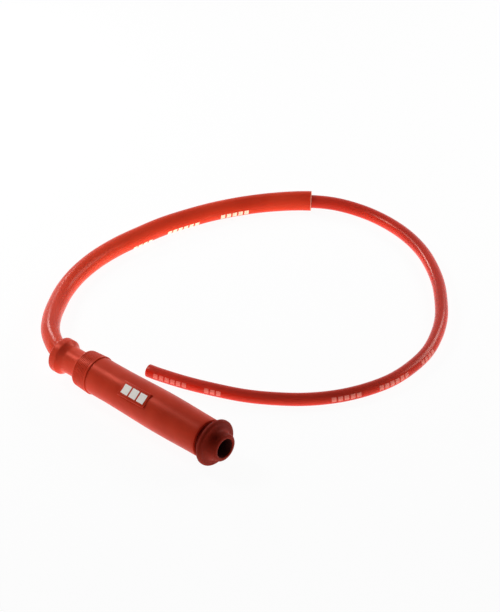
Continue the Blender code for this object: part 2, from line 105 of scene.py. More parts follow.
def addRange(nodes, links, source, fromRange, toRange=(0, 1)):
    spread = nodes.new("ShaderNodeMapRange")
    for end, fromValue, toValue in zip(("Min", "Max"), fromRange, toRange):
        spread.inputs["From " + end].default_value = fromValue
        spread.inputs["To " + end].default_value = toValue
    links.new(source, spread.inputs["Value"])
    return spread


def addBump(nodes, links, source, strength, distance, before=None):
    bump = nodes.new("ShaderNodeBump")
    bump.inputs["Strength"].default_value = strength
    bump.inputs["Distance"].default_value = distance
    links.new(source, bump.inputs["Height"])
    if before:
        links.new(before.outputs["Normal"], bump.inputs["Normal"])
    return bump


def addBlend(nodes, links, share, under):
    # A colour over another by share; the one on top, B, is left to the caller
    blend = nodes.new("ShaderNodeMix")
    blend.data_type = "RGBA"
    links.new(share, blend.inputs["Factor"])
    links.new(under, blend.inputs["A"])
    return blend


# Camera, floor and lights

cameraValues = {
    "azimuth": 44.416, "elevation": 35.0, "distance": 4.471, "farthest": 100,
    "target": (-0.0328, 0.1128, 0.0), "lens": 500, "sensor": 36,
}


def addCamera(values):
    turn, tilt = math.radians(values["azimuth"]), math.radians(values["elevation"])
    level = math.cos(tilt)
    back = Vector((math.sin(turn) * level, -math.cos(turn) * level, math.sin(tilt)))
    place = Vector(values["target"]) + back * values["distance"]
    bpy.ops.object.camera_add(location=place, rotation=back.to_track_quat("Z", "Y").to_euler())
    camera = bpy.context.object
    camera.name = "productCamera"
    camera.data.lens = values["lens"]
    camera.data.sensor_width = values["sensor"]
    camera.data.clip_end = values["farthest"]
    bpy.context.scene.camera = camera


stageValues = {
    "floorSize": 12, "paperGrey": 0.9, "pictureShare": 0.95, "worldStrength": 0.08,
    "glow": 2.07, "glowPlace": (0.055, 0.0), "glowTurn": -41, "glowReach": (-0.25, 0.1),
    "glowStops": [   # far side to plug end
        (0.0, 0.75), (0.08, 0.78), (0.16, 1.25), (0.29, 1.25), (0.43, 0.85),
        (0.5, 0.72), (0.58, 0.92), (0.72, 0.5), (1.0, 0.12),
    ],
    "lamps": {   # place, aim, size and power of each
        "leftSoftbox": ((-0.327, -0.068, 0.354), (-0.03, 0.02, 0), (0.13, 0.13), 1.0),
        "lowSoftbox": ((-0.72, 0.0, 0.50), (0, 0.15, 0), (0.2, 0.2), 0.7),
        "nearCard": ((-0.363, 0.177, 0.165), (-0.09, 0.023, 0.01), (0.08, 0.08), 0.36),
        "backSoftbox": ((0.12, 0.6, 0.32), (0.02, 0.12, 0), (0.45, 0.22), 2.1),
    },
}


def addRayChooser(nodes, links, forPicture, forLight):
    # Camera, mirror and glass rays meet a plain white, the rest meets what lights the object
    rays = nodes.new("ShaderNodeLightPath")
    seen = nodes.new("ShaderNodeMath")
    seen.operation = "MAXIMUM"
    shown = nodes.new("ShaderNodeMath")
    shown.operation = "MAXIMUM"
    links.new(rays.outputs["Is Camera Ray"], seen.inputs[0])
    links.new(rays.outputs["Is Glossy Ray"], seen.inputs[1])
    links.new(seen.outputs[0], shown.inputs[0])
    links.new(rays.outputs["Is Transmission Ray"], shown.inputs[1])
    chooser = nodes.new("ShaderNodeMixShader")
    links.new(shown.outputs[0], chooser.inputs["Fac"])
    links.new(forLight.outputs[0], chooser.inputs[1])
    links.new(forPicture.outputs[0], chooser.inputs[2])
    return chooser


def buildPaper(values):
    material = bpy.data.materials.new("paperSweep")
    material.use_nodes = True
    material.cycles.emission_sampling = "NONE"      # sought as a lamp, so wide a glow adds grain
    nodes, links = material.node_tree.nodes, material.node_tree.links
    nodes.clear()
    output = nodes.new("ShaderNodeOutputMaterial")
    paper = nodes.new("ShaderNodeBsdfDiffuse")
    paper.inputs["Color"].default_value = grey(values["paperGrey"])

    # Painted glow: the paper glows and throws light back up at the object, strongest under the loop
    place = nodes.new("ShaderNodeTexCoord")
    turn = nodes.new("ShaderNodeMapping")
    turn.vector_type = "TEXTURE"
    turn.inputs["Location"].default_value = (*values["glowPlace"], 0)
    turn.inputs["Rotation"].default_value = (0, 0, math.radians(values["glowTurn"]))
    links.new(place.outputs["Object"], turn.inputs["Vector"])
    split = nodes.new("ShaderNodeSeparateXYZ")
    links.new(turn.outputs["Vector"], split.inputs["Vector"])
    reach = addRange(nodes, links, split.outputs["X"], values["glowReach"])
    stops = [(position, grey(share)) for position, share in values["glowStops"]]
    fade = addRamp(nodes, links, reach.outputs["Result"], stops)
    fade.color_ramp.interpolation = "EASE"
    glow = nodes.new("ShaderNodeEmission")
    glow.inputs["Strength"].default_value = values["glow"]
    links.new(fade.outputs["Color"], glow.inputs["Color"])
    lit = nodes.new("ShaderNodeAddShader")
    links.new(paper.outputs[0], lit.inputs[0])
    links.new(glow.outputs[0], lit.inputs[1])

    # The paper as the picture shows it, white with the object's shadow
    white = nodes.new("ShaderNodeEmission")
    shown = nodes.new("ShaderNodeMixShader")
    shown.inputs["Fac"].default_value = values["pictureShare"]
    links.new(paper.outputs[0], shown.inputs[1])
    links.new(white.outputs[0], shown.inputs[2])
    chooser = addRayChooser(nodes, links, shown, lit)
    links.new(chooser.outputs[0], output.inputs["Surface"])
    return material


def addSoftbox(name, place, aim, size, power):
    facing = (Vector(place) - Vector(aim)).to_track_quat("Z", "Y").to_euler()
    bpy.ops.object.light_add(type="AREA", location=place, rotation=facing)
    light = bpy.context.object
    light.name = name
    light.data.shape = "RECTANGLE"
    light.data.size, light.data.size_y = size
    light.data.energy = power
    light.visible_camera = False


def addStage(values):
    bpy.ops.mesh.primitive_plane_add(size=values["floorSize"], location=(0, 0, 0))
    floor = bpy.context.object
    floor.name = "studioFloor"
    floor.data.materials.append(buildPaper(values))
    for name, lamp in values["lamps"].items():
        addSoftbox(name, *lamp)
    world = bpy.data.worlds.new("studioWorld")
    bpy.context.scene.world = world
    world.use_nodes = True
    nodes, links = world.node_tree.nodes, world.node_tree.links
    nodes.clear()
    output = nodes.new("ShaderNodeOutputWorld")
    plain = nodes.new("ShaderNodeBackground")
    plain.inputs["Strength"].default_value = values["worldStrength"]
    plain.inputs["Color"].default_value = grey(1)
    white = nodes.new("ShaderNodeBackground")
    white.inputs["Color"].default_value = grey(1)
    chooser = addRayChooser(nodes, links, white, plain)
    links.new(chooser.outputs[0], output.inputs["Surface"])
    bpy.context.scene.view_settings.view_transform = "Standard"


addCamera(cameraValues)
addStage(stageValues)
print("camera, floor and lights placed")


# Silicone: slow drift of colour, a fine moulded skin and a little pale dust caught in it

siliconeValues = {
    "driftStops": (0.32, 0.52, 0.72), "dustStops": (0.66, 0.74),
    "waveHeight": 0.5 * mm, "skinHeight": 0.1 * mm,
    "redReach": (1.0, 0.22, 0.12),      # red light goes deeper into it than green and blue
}
matteSilicone = {
    "low": (179, 49, 28), "middle": (189, 55, 33), "high": (198, 62, 39), "dust": (206, 104, 84),
    "roughness": (0.28, 0.36), "specular": 0.12, "redGloss": 0.05, "tint": (1, 0.34, 0.24),
    "glow": 0.2, "glowDepth": 2 * mm, "driftScale": 55, "waves": 0.12,
    "skin": 0.1, "skinScale": 2600, "dustScale": 900, "dustShare": 0.08,
}
# The plug seal's silicone is painted darker than the cap's: painted shade on its front faces, which
# face away from the lamps
sealSiliconeWithShade = {
    **matteSilicone,
    "low": (123, 29, 18), "middle": (133, 34, 21), "high": (143, 40, 25), "dust": (176, 76, 60),
    "roughness": (0.5, 0.62), "specular": 0.1, "redGloss": 0.0,
    "glow": 0.1, "glowDepth": 1 * mm,
}
# Painted sheen: the neck behind the collar is painted paler, standing in for the brighter light it
# catches
neckPaintedSheen = {      # from the collar's rear edge backwards, along X
    "low": (190, 55, 35), "middle": (199, 62, 41), "high": (207, 70, 48),
    "from": (-0.0416, -0.0436),
}
sleeveSilicone = {
    "low": (188, 48, 27), "middle": (197, 54, 31), "high": (205, 61, 37), "dust": (214, 112, 90),
    "roughness": (0.2, 0.28), "specular": 0.09, "redGloss": 0.0, "tint": (1, 0.55, 0.42),
    "glow": 0.2, "glowDepth": 2 * mm, "driftScale": 40, "waves": 0.02,
    "dustScale": 520, "dustShare": 0.04,
}
leadSilicone = {
    "low": (180, 36, 20), "middle": (190, 41, 24), "high": (199, 47, 29), "dust": (220, 96, 76),
    "roughness": (0.19, 0.25), "specular": 0.22, "redGloss": 0.0, "tint": (1, 0.62, 0.5),
    "glow": 0.2, "glowDepth": 2 * mm, "driftScale": 40, "waves": 0.012,
    "dustScale": 315, "dustShare": 0.03,
}


def buildSilicone(name, values, neck=None):
    material, nodes, links, shader, place = startMaterial(name)
    drift = addNoise(nodes, links, place, values["driftScale"], 4)

    def addReds(reds):
        shades = [screenColour(*reds[shade]) for shade in ("low", "middle", "high")]
        stops = list(zip(siliconeValues["driftStops"], shades))
        return addRamp(nodes, links, drift.outputs["Fac"], stops).outputs["Color"]

    skinColour = addReds(values)
    if neck:      # behind the collar the silicone is painted paler, a painted sheen
        split = nodes.new("ShaderNodeSeparateXYZ")
        links.new(place.outputs["Object"], split.inputs["Vector"])
        behind = addRange(nodes, links, split.outputs["X"], neck["from"])
        blend = addBlend(nodes, links, behind.outputs["Result"], skinColour)
        links.new(addReds(neck), blend.inputs["B"])
        skinColour = blend.outputs["Result"]
    specks = addNoise(nodes, links, place, values["dustScale"], 2)
    stops = list(zip(siliconeValues["dustStops"], (grey(0), grey(values["dustShare"]))))
    dust = addRamp(nodes, links, specks.outputs["Fac"], stops)
    dusted = addBlend(nodes, links, dust.outputs["Color"], skinColour)
    dusted.inputs["B"].default_value = screenColour(*values["dust"])
    links.new(dusted.outputs["Result"], shader.inputs["Base Color"])
    sheen = addNoise(nodes, links, place, values["driftScale"] * 3, 3)
    rough = addRange(nodes, links, sheen.outputs["Fac"], noiseMiddle, values["roughness"])
    links.new(rough.outputs["Result"], shader.inputs["Roughness"])
    waves = addNoise(nodes, links, place, values["driftScale"] * 2, 2)
    height = siliconeValues["waveHeight"]
    bump = addBump(nodes, links, waves.outputs["Fac"], values["waves"], height)
    if "skin" in values:      # the lead and its sleeve are smooth and have none
        grain = addNoise(nodes, links, place, values["skinScale"], 2)
        height = siliconeValues["skinHeight"]
        bump = addBump(nodes, links, grain.outputs["Fac"], values["skin"], height, bump)
    links.new(bump.outputs["Normal"], shader.inputs["Normal"])
    shader.inputs["Metallic"].default_value = values["redGloss"]      # shine in the silicone's red
    shader.inputs["Specular IOR Level"].default_value = values["specular"]
    shader.inputs["Specular Tint"].default_value = (*values["tint"], 1)
    shader.inputs["Subsurface Weight"].default_value = values["glow"]
    shader.inputs["Subsurface Radius"].default_value = siliconeValues["redReach"]
    shader.inputs["Subsurface Scale"].default_value = values["glowDepth"]
    return material


capRed = buildSilicone("moulded_red_silicone", matteSilicone)
sealRed = buildSilicone("dark_red_silicone_with_painted_shade", sealSiliconeWithShade)
bootRed = buildSilicone("boot_red_silicone", matteSilicone, neckPaintedSheen)
sleeveRed = buildSilicone("red_silicone_sleeving", sleeveSilicone)
leadRed = buildSilicone("red_lead_insulation", leadSilicone)


# Moulded, fired and printed finishes, and painted shade for the seal's opening: dark and bright
# colour, roughness, scale and specular

mouldedValues = {
    "cloudStops": (0.35, 0.68), "grainScale": 9, "grain": 0.12, "grainHeight": 0.08 * mm,
}
mouldedFinishes = {
    # painted shade deep in the seal's opening, where little light reaches
    "painted_bore_shade": ((62, 22, 19), (80, 31, 26), (0.6, 0.75), 260, 0.1),
    "black_phenolic": ((20, 17, 16), (36, 31, 29), (0.35, 0.5), 300, 0.4),
    "resistor_ceramic": ((198, 188, 168), (222, 213, 196), (0.55, 0.7), 500, 0.35),
    "pale_print": ((250, 243, 234), (255, 251, 246), (0.3, 0.45), 900, 0.5),
    "cream_print": ((240, 178, 150), (252, 212, 184), (0.4, 0.55), 1400, 0.3),
    "worn_pale_print": ((206, 92, 78), (224, 124, 108), (0.4, 0.55), 1400, 0.3),
    "cut_silicone": ((236, 160, 134), (248, 192, 168), (0.5, 0.65), 1200, 0.3),
}


def buildMoulded(name, dark, bright, roughness, scale, specular):
    material, nodes, links, shader, place = startMaterial(name)
    cloud = addNoise(nodes, links, place, scale, 5)
    shades = (screenColour(*dark), screenColour(*bright))
    stops = list(zip(mouldedValues["cloudStops"], shades))
    colours = addRamp(nodes, links, cloud.outputs["Fac"], stops)
    links.new(colours.outputs["Color"], shader.inputs["Base Color"])
    grain = addNoise(nodes, links, place, scale * mouldedValues["grainScale"], 2)
    rough = addRange(nodes, links, grain.outputs["Fac"], noiseMiddle, roughness)
    links.new(rough.outputs["Result"], shader.inputs["Roughness"])
    strength, height = mouldedValues["grain"], mouldedValues["grainHeight"]
    bump = addBump(nodes, links, grain.outputs["Fac"], strength, height)
    links.new(bump.outputs["Normal"], shader.inputs["Normal"])
    shader.inputs["Specular IOR Level"].default_value = specular
    return material


moulded = {name: buildMoulded(name, *finish) for name, finish in mouldedFinishes.items()}


# Metal: turning marks run round the part, so the noise is stretched flat along X

metalValues = {
    "stretch": (2600, 60, 60), "stainScale": 240, "stainStops": (0.35, 0.65),
    "marks": 0.12, "markHeight": 0.05 * mm,
}
metalFinishes = {   # dark and bright colour, roughness
    "turned_brass": ((170, 132, 62), (206, 170, 94), (0.24, 0.4)),
    "spring_steel": ((146, 148, 150), (188, 190, 192), (0.2, 0.35)),
    "copper_strand": ((150, 84, 52), (200, 124, 84), (0.25, 0.4)),
}


def buildMetal(name, dark, bright, roughness):
    material, nodes, links, shader, place = startMaterial(name)
    marks = addNoise(nodes, links, place, 1, 3, metalValues["stretch"])
    stain = addNoise(nodes, links, place, metalValues["stainScale"], 4)
    shades = (screenColour(*dark), screenColour(*bright))
    stops = list(zip(metalValues["stainStops"], shades))
    colours = addRamp(nodes, links, stain.outputs["Fac"], stops)
    links.new(colours.outputs["Color"], shader.inputs["Base Color"])
    rough = addRange(nodes, links, marks.outputs["Fac"], noiseMiddle, roughness)
    links.new(rough.outputs["Result"], shader.inputs["Roughness"])
    strength, height = metalValues["marks"], metalValues["markHeight"]
    bump = addBump(nodes, links, marks.outputs["Fac"], strength, height)
    links.new(bump.outputs["Normal"], shader.inputs["Normal"])
    shader.inputs["Metallic"].default_value = 1
    return material


metals = {name: buildMetal(name, *finish) for name, finish in metalFinishes.items()}
print("materials built")


# Small jobs that several pieces share

def selectEdges(piece, isWanted):
    # In edit mode, the edges whose two ends both pass
    bpy.ops.mesh.select_mode(type="EDGE")
    bpy.ops.mesh.select_all(action="DESELECT")
    shape = bmesh.from_edit_mesh(piece.data)
    for edge in shape.edges:
        if all(isWanted(corner.co) for corner in edge.verts):
            edge.select_set(True)
    bmesh.update_edit_mesh(piece.data)


def paintFaces(piece, material, isWanted):
    piece.data.materials.append(material)
    for face in piece.data.polygons:
        if isWanted(face):
            face.material_index = len(piece.data.materials) - 1


def addBlock(place, turn, size):
    # A block of its size in millimetres, with its place and turn in its mesh
    bpy.ops.object.select_all(action="DESELECT")
    bpy.ops.mesh.primitive_cube_add(size=1, location=place, rotation=turn)
    block = bpy.context.object
    block.scale = [side * mm for side in size]
    bpy.ops.object.transform_apply(location=True, rotation=True, scale=True)
    return block


def joinPieces(pieces, name):
    for piece in pieces:
        piece.select_set(True)
    bpy.ops.object.join()
    joined = bpy.context.object
    joined.name = name
    return joined


def softenEdges(piece, width, steps):
    bevel = piece.modifiers.new("softEdges", "BEVEL")
    bevel.width = width
    bevel.segments = steps
    bevel.limit_method = "ANGLE"
    bpy.ops.object.modifier_apply(modifier=bevel.name)


def makeActive(piece):
    bpy.ops.object.select_all(action="DESELECT")
    piece.select_set(True)
    bpy.context.view_layer.objects.active = piece


# Turned pieces: a ring round the cap's axis is pulled along it and scaled at each station

turningValues = {
    "mergeWithin": 0.000002, "onRingWithin": 0.00002, "smoothAngle": 30, "segments": 96,
}


def startRing(name, distance, radius, segments):
    bpy.ops.object.select_all(action="DESELECT")
    bpy.ops.mesh.primitive_circle_add(
        vertices=segments, radius=radius, fill_type="NOTHING",
        location=(noseEnd - distance, 0, axisHeight), rotation=(0, math.pi / 2, 0),
    )
    piece = bpy.context.object
    piece.name = name
    bpy.ops.object.transform_apply(location=True, rotation=True, scale=True)
    bpy.ops.object.mode_set(mode="EDIT")
    bpy.ops.mesh.select_all(action="SELECT")
    return piece


def pullRings(stations):
    # Stations are (distance behind the nose end, radius), both in metres
    for (lastDistance, lastRadius), (distance, radius) in zip(stations, stations[1:]):
        step = (lastDistance - distance, 0, 0)
        share = radius / lastRadius
        centre = (noseEnd - distance, 0, axisHeight)
        bpy.ops.mesh.extrude_edges_move(TRANSFORM_OT_translate={"value": step})
        bpy.ops.transform.resize(value=(1, share, share), center_override=centre)


def closeRings():
    bpy.ops.mesh.select_all(action="SELECT")
    bpy.ops.mesh.remove_doubles(threshold=turningValues["mergeWithin"])
    bpy.ops.mesh.normals_make_consistent(inside=False)


def roundRing(piece, distance, radius, width, steps):
    def isOnRing(point):
        fromAxis = math.hypot(point.y, point.z - axisHeight)
        offRing = max(abs(noseEnd - point.x - distance), abs(fromAxis - radius))
        return offRing < turningValues["onRingWithin"]

    selectEdges(piece, isOnRing)
    bpy.ops.mesh.bevel(
        offset=width, offset_type="OFFSET", segments=steps, profile=0.5, affect="EDGES",
        clamp_overlap=True,
    )


def turnPiece(name, stations, roundings, material, segments=None, angle=None):
    stations = [(distance * mm, radius * mm) for distance, radius in stations]
    piece = startRing(name, *stations[0], segments or turningValues["segments"])
    pullRings(stations + stations[:1])
    closeRings()
    for distance, radius, width, steps in roundings:
        roundRing(piece, distance * mm, radius * mm, width * mm, steps)
    closeRings()
    bpy.ops.object.mode_set(mode="OBJECT")
    smoothAngle = math.radians(angle or turningValues["smoothAngle"])
    bpy.ops.object.shade_smooth_by_angle(angle=smoothAngle)
    piece.data.materials.append(material)
    return piece


# Plug seal: nose, flange and the spigot that goes into the body
plugSealValues = {
    "stations": [
        (8.0, 5.45), (0.0, 5.45), (0.0, 7.8), (6.0, 7.8), (6.0, 12.85), (8.9, 12.85),
        (8.9, 9.0), (18.5, 9.0), (18.5, 7.3), (8.0, 7.3),
    ],
    "roundings": [   # distance and radius of the edge, width and steps of its rounding
        (0.0, 5.45, 0.5, 4), (0.0, 7.8, 1.5, 6), (6.0, 7.8, 2.4, 7),
        (6.0, 12.85, 1.4, 6), (8.9, 12.85, 0.9, 5),
    ],
    "shadeFrom": 0.8, "shadeRadius": 5.6,
}


def isInShadedBore(face):
    # Inside the opening, where painted shade darkens the silicone
    fromAxis = math.hypot(face.center.y, face.center.z - axisHeight)
    behindNose = noseEnd - face.center.x
    return (
        behindNose > plugSealValues["shadeFrom"] * mm
        and fromAxis < plugSealValues["shadeRadius"] * mm
    )


plugSeal = turnPiece("plugSeal", plugSealValues["stations"], plugSealValues["roundings"], sealRed)
# The opening's walls get painted shade
paintFaces(plugSeal, moulded["painted_bore_shade"], isInShadedBore)
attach(plugSeal, "root")
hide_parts("plug_seal")
print("plug seal turned")


# Cap body: a long bulged tube with a flat raised pad
capBodyValues = {
    "front": 12.6, "length": 79.2, "frontRadius": 10.65, "bulgeRadius": 11.0, "rearRadius": 10.2,
    "bulgeAt": 29.1, "taperEnd": 71.2, "stationEvery": 2.7, "frontRounding": (0.5, 4),
    "spigotRadius": 8.9, "spigotLength": 6.5, "boreRadius": 7.3,
    "counterboreRadius": 9.3, "counterboreDepth": 6.2, "segments": 128, "smoothAngle": 28,
    "padLength": 19.0, "padWidth": 8.3, "padRise": 0.5, "padDepth": 3.0, "padAt": 46.1,
    "padAngle": 50.0, "padPitch": 1.3, "padEdge": 0.35, "padEdgeSteps": 4,
}


def bodyRadius(fromFront, values):
    if fromFront < values["bulgeAt"]:
        low, share = values["frontRadius"], fromFront / values["bulgeAt"]
    else:
        low = values["rearRadius"]
        taperLength = values["taperEnd"] - values["bulgeAt"]
        share = max(0, (values["taperEnd"] - fromFront) / taperLength)
    return low + (values["bulgeRadius"] - low) * (1 - math.cos(math.pi * share)) / 2


def overPad(values, height):
    # The direction out of the pad, and the point over its middle at a height over the skin
    tilt = math.radians(90 - values["padAngle"])
    outwards = Vector((0, -math.sin(tilt), math.cos(tilt)))
    onAxis = Vector((noseEnd - (values["front"] + values["padAt"]) * mm, 0, axisHeight))
    reach = bodyRadius(values["padAt"], values) + height
    return outwards, onAxis + outwards * reach * mm


def addPadBlock(values):
    depth = values["padDepth"]
    outwards, middle = overPad(values, values["padRise"] - depth / 2)
    turn = (math.radians(90 - values["padAngle"]), -math.radians(values["padPitch"]), 0)
    block = addBlock(middle, turn, (values["padLength"], values["padWidth"], depth))
    bpy.ops.object.mode_set(mode="EDIT")
    selectEdges(block, lambda point: (point - middle).dot(outwards) > 0)
    width, steps = values["padEdge"] * mm, values["padEdgeSteps"]
    bpy.ops.mesh.bevel(offset=width, segments=steps, profile=0.5, affect="EDGES")
    bpy.ops.object.mode_set(mode="OBJECT")
    return block


def buildCapBody(values):
    front, length = values["front"], values["length"]
    rear, spigotEnd = front + length, front + length + values["spigotLength"]
    counterbore = front + values["counterboreDepth"]
    count = round(length / values["stationEvery"])
    distances = [length * step / count for step in range(count + 1)]
    stations = [(front + distance, bodyRadius(distance, values)) for distance in distances]
    stations += [
        (rear, values["spigotRadius"]), (spigotEnd, values["spigotRadius"]),
        (spigotEnd, values["boreRadius"]), (counterbore, values["boreRadius"]),
        (counterbore, values["counterboreRadius"]), (front, values["counterboreRadius"]),
    ]
    roundings = [(front, values["frontRadius"], *values["frontRounding"])]
    body = turnPiece("capBody", stations, roundings, capRed, segments=values["segments"])
    block = addPadBlock(values)
    join = body.modifiers.new("padJoin", "BOOLEAN")
    join.operation = "UNION"
    join.solver = "EXACT"
    join.object = block
    bpy.context.view_layer.objects.active = body
    bpy.ops.object.modifier_apply(modifier=join.name)
    bpy.data.objects.remove(block)
    body.select_set(True)
    bpy.ops.object.shade_smooth_by_angle(angle=math.radians(values["smoothAngle"]))
    return body


capBody = buildCapBody(capBodyValues)
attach(capBody, "root")
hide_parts("cap_body")
print("cap body turned, pad joined")


# Plain printed blocks on the pad
padPrintValues = {"count": 3, "size": (4.7, 5.2, 0.12), "gap": 1.0, "edge": 0.5, "edgeSteps": 3}


def buildPadPrint(values, body):
    outwards, middle = overPad(body, body["padRise"])
    tilt, pitch = math.radians(90 - body["padAngle"]), math.radians(body["padPitch"])
    turn = Matrix.Rotation(tilt, 3, "X") @ Matrix.Rotation(-pitch, 3, "Y")
    every = values["size"][0] + values["gap"]
    blocks = []
    for index in range(values["count"]):
        along = (index - (values["count"] - 1) / 2) * every
        place = middle + turn @ Vector((along * mm, 0, 0))
        blocks.append(addBlock(place, turn.to_euler(), values["size"]))
    piece = joinPieces(blocks, "padPrint")
    softenEdges(piece, values["edge"] * mm, values["edgeSteps"])
    piece.data.materials.append(moulded["pale_print"])
    return piece


padPrint = buildPadPrint(padPrintValues, capBodyValues)
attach(padPrint, "root")
print("pad print placed")


# Cable boot: collar with fine ribs, neck and flared mouth
cableBootValues = {
    "collarFront": 91.82, "collarRear": 101.6, "collarRadius": 10.8, "collarTaper": 0.7,
    "ribs": 8, "ribPitch": 1.0, "ribDepth": 0.2, "ribStart": 1.5,
    "ribFoot": 0.28, "ribFloor": 0.4, "ribEase": 0.02,
    "neckFront": 103.0, "neckRear": 113.1, "neckRadius": 7.3,
    "rimFront": 115.3, "mouth": 120.0, "rimRadius": 9.55,
    "boreRadius": 5.1, "bellStart": 110.5, "bellCurve": 20.0, "bellSteps": 10,
    "seat": 100.3, "seatRadius": 7.3, "socketEnd": 98.6, "socketRadius": 9.2,
    "roundings": {   # width and steps
        "collarFront": (0.35, 4), "collarRear": (0.5, 5), "neckFront": (1.0, 6),
        "neckRear": (1.4, 6), "rimFront": (0.3, 4), "rimRear": (1.3, 7), "bell": (0.6, 4),
    },
    "smoothAngle": 40, "segments": 112,
}


def buildCableBoot(values):
    front, rear, mouthAt = values["collarFront"], values["collarRear"], values["mouth"]
    neckRadius, rimRadius = values["neckRadius"], values["rimRadius"]

    def collarAt(distance):
        share = (distance - front) / (rear - front)
        return values["collarRadius"] - values["collarTaper"] * share

    def bellAt(distance):
        curve = values["bellCurve"]
        rise = curve - math.sqrt(curve ** 2 - (distance - values["bellStart"]) ** 2)
        return values["boreRadius"] + rise

    stations = [(front, values["socketRadius"]), (front, values["collarRadius"])]
    halfFoot = values["ribPitch"] * values["ribFoot"]
    halfFloor = halfFoot * values["ribFloor"]
    for rib in range(values["ribs"]):
        groove = front + values["ribStart"] + rib * values["ribPitch"]
        grooveRadius = collarAt(groove) - values["ribDepth"]
        stations += [
            (groove - halfFoot, collarAt(groove - halfFoot) - values["ribEase"]),
            (groove - halfFloor, grooveRadius), (groove + halfFloor, grooveRadius),
            (groove + halfFoot, collarAt(groove + halfFoot) - values["ribEase"]),
        ]
    edges = {
        "collarFront": (front, values["collarRadius"]), "collarRear": (rear, collarAt(rear)),
        "neckFront": (values["neckFront"], neckRadius),
        "neckRear": (values["neckRear"], neckRadius),
        "rimFront": (values["rimFront"], rimRadius), "rimRear": (mouthAt, rimRadius),
        "bell": (mouthAt, bellAt(mouthAt)),
    }
    for edge in ("collarRear", "neckFront", "neckRear", "rimFront", "rimRear"):
        stations.append(edges[edge])
    for step in range(values["bellSteps"] + 1):
        share = 1 - step / values["bellSteps"]
        distance = values["bellStart"] + (mouthAt - values["bellStart"]) * share
        stations.append((distance, bellAt(distance)))
    stations += [
        (values["seat"], values["boreRadius"]), (values["seat"], values["seatRadius"]),
        (values["socketEnd"], values["seatRadius"]), (values["socketEnd"], values["socketRadius"]),
    ]
    roundings = [(*edges[edge], *rounding) for edge, rounding in values["roundings"].items()]
    return turnPiece(
        "cableBoot", stations, roundings, bootRed,
        segments=values["segments"], angle=values["smoothAngle"],
    )


cableBoot = buildCableBoot(cableBootValues)
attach(cableBoot, "root")
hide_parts("cable_boot")
print("cable boot turned")


# Lead and sleeve: the route's points, from the ferrule inside the cap to the cut end
leadRoute = [
    (-0.0320, 0.0000, 0.01285), (-0.0403, 0.0000, 0.01285), (-0.0510, 0.0000, 0.01285),
    (-0.0590, 0.0009, 0.01269), (-0.0663, 0.0032, 0.01229), (-0.0795, 0.0119, 0.01070),
    (-0.0904, 0.0234, 0.00864), (-0.0996, 0.0363, 0.00657), (-0.1075, 0.0500, 0.00522),
    (-0.1130, 0.0650, 0.00505), (-0.1160, 0.0810, 0.00505), (-0.1165, 0.0970, 0.00505),
    (-0.1150, 0.1125, 0.00505), (-0.1125, 0.1285, 0.00505), (-0.1080, 0.1440, 0.00505),
    (-0.1025, 0.1585, 0.00505), (-0.0950, 0.1730, 0.00505), (-0.0860, 0.1860, 0.00505),
    (-0.0750, 0.1980, 0.00505), (-0.0625, 0.2075, 0.00473), (-0.0475, 0.2135, 0.00402),
    (-0.0320, 0.2155, 0.00360), (-0.0160, 0.2140, 0.00360), (-0.0005, 0.2095, 0.00360),
    (0.0135, 0.2025, 0.00360), (0.0270, 0.1935, 0.00360), (0.0390, 0.1830, 0.00360),
    (0.0500, 0.1715, 0.00360), (0.0590, 0.1585, 0.00360), (0.0660, 0.1440, 0.00360),
    (0.0695, 0.1285, 0.00360), (0.0700, 0.1125, 0.00360), (0.0665, 0.0970, 0.00360),
    (0.0600, 0.0825, 0.00360), (0.0505, 0.0695, 0.00360), (0.0385, 0.0585, 0.00360),
    (0.0255, 0.0495, 0.00360), (0.0110, 0.0425, 0.00360), (-0.0040, 0.0365, 0.00360),
    (-0.0190, 0.0320, 0.00360), (-0.0260, 0.0305, 0.00360),
]
leadValues = {
    "radius": 3.5 * mm, "sides": 36, "spacing": 2.5 * mm, "endRounding": 0.25 * mm,
    "nearHole": 0.4 * mm, "coreRadius": 1.15 * mm, "coreFloor": 1.1 * mm, "coreDepth": 0.5 * mm,
    "coreHole": 0.01 * mm,
}
sleeveValues = {
    "radius": 5.0 * mm, "boreRadius": 3.9 * mm, "startX": -0.0403, "length": 0.253,
    "sides": 40, "endRounding": 0.3 * mm, "opening": 0.3 * mm, "openingLength": 0.045,
    "lift": 0.35 * mm, "cutFacing": 0.25,
}
tubeValues = {"curveSteps": 30, "mergeWithin": 0.000001, "smoothAngle": 35, "roundingSteps": 4}


def distancesAlong(path):
    distances = [0]
    for last, here in zip(path, path[1:]):
        distances.append(distances[-1] + (here - last).length)
    return distances


def smoothPath(points, spacing):
    # A Catmull-Rom curve through the points, read at even steps
    points = [Vector(point) for point in points]
    ends = [2 * points[0] - points[1], *points, 2 * points[-1] - points[-2]]
    fine = []
    for before, start, end, after in zip(ends, ends[1:], ends[2:], ends[3:]):
        for step in range(tubeValues["curveSteps"]):
            t = step / tubeValues["curveSteps"]
            fine.append(0.5 * (
                2 * start + (end - before) * t
                + (2 * before - 5 * start + 4 * end - after) * t ** 2
                + (3 * start - before - 3 * end + after) * t ** 3
            ))
    fine.append(points[-1])
    lengths = distancesAlong(fine)
    count = round(lengths[-1] / spacing)
    path, index = [], 0
    for step in range(count + 1):
        target = lengths[-1] * step / count
        while index < len(lengths) - 2 and lengths[index + 1] < target:
            index += 1
        share = (target - lengths[index]) / (lengths[index + 1] - lengths[index])
        path.append(fine[index].lerp(fine[index + 1], share))
    return path


def pathFrames(path):
    # Directions across the path that don't twist along it
    frames = []
    side = None
    for index, place in enumerate(path):
        ahead = path[min(index + 1, len(path) - 1)] - path[max(index - 1, 0)]
        along = ahead.normalized()
        if side is None:
            side = along.cross(Vector((0, 0, 1))).normalized()
        side = (side - along * side.dot(along)).normalized()
        frames.append((place, along, side, side.cross(along)))
    return frames


def addMeshPiece(name, verts, faces):
    mesh = bpy.data.meshes.new(name)
    mesh.from_pydata(verts, [], faces)
    piece = bpy.data.objects.new(name, mesh)
    bpy.context.scene.collection.objects.link(piece)
    makeActive(piece)
    return piece


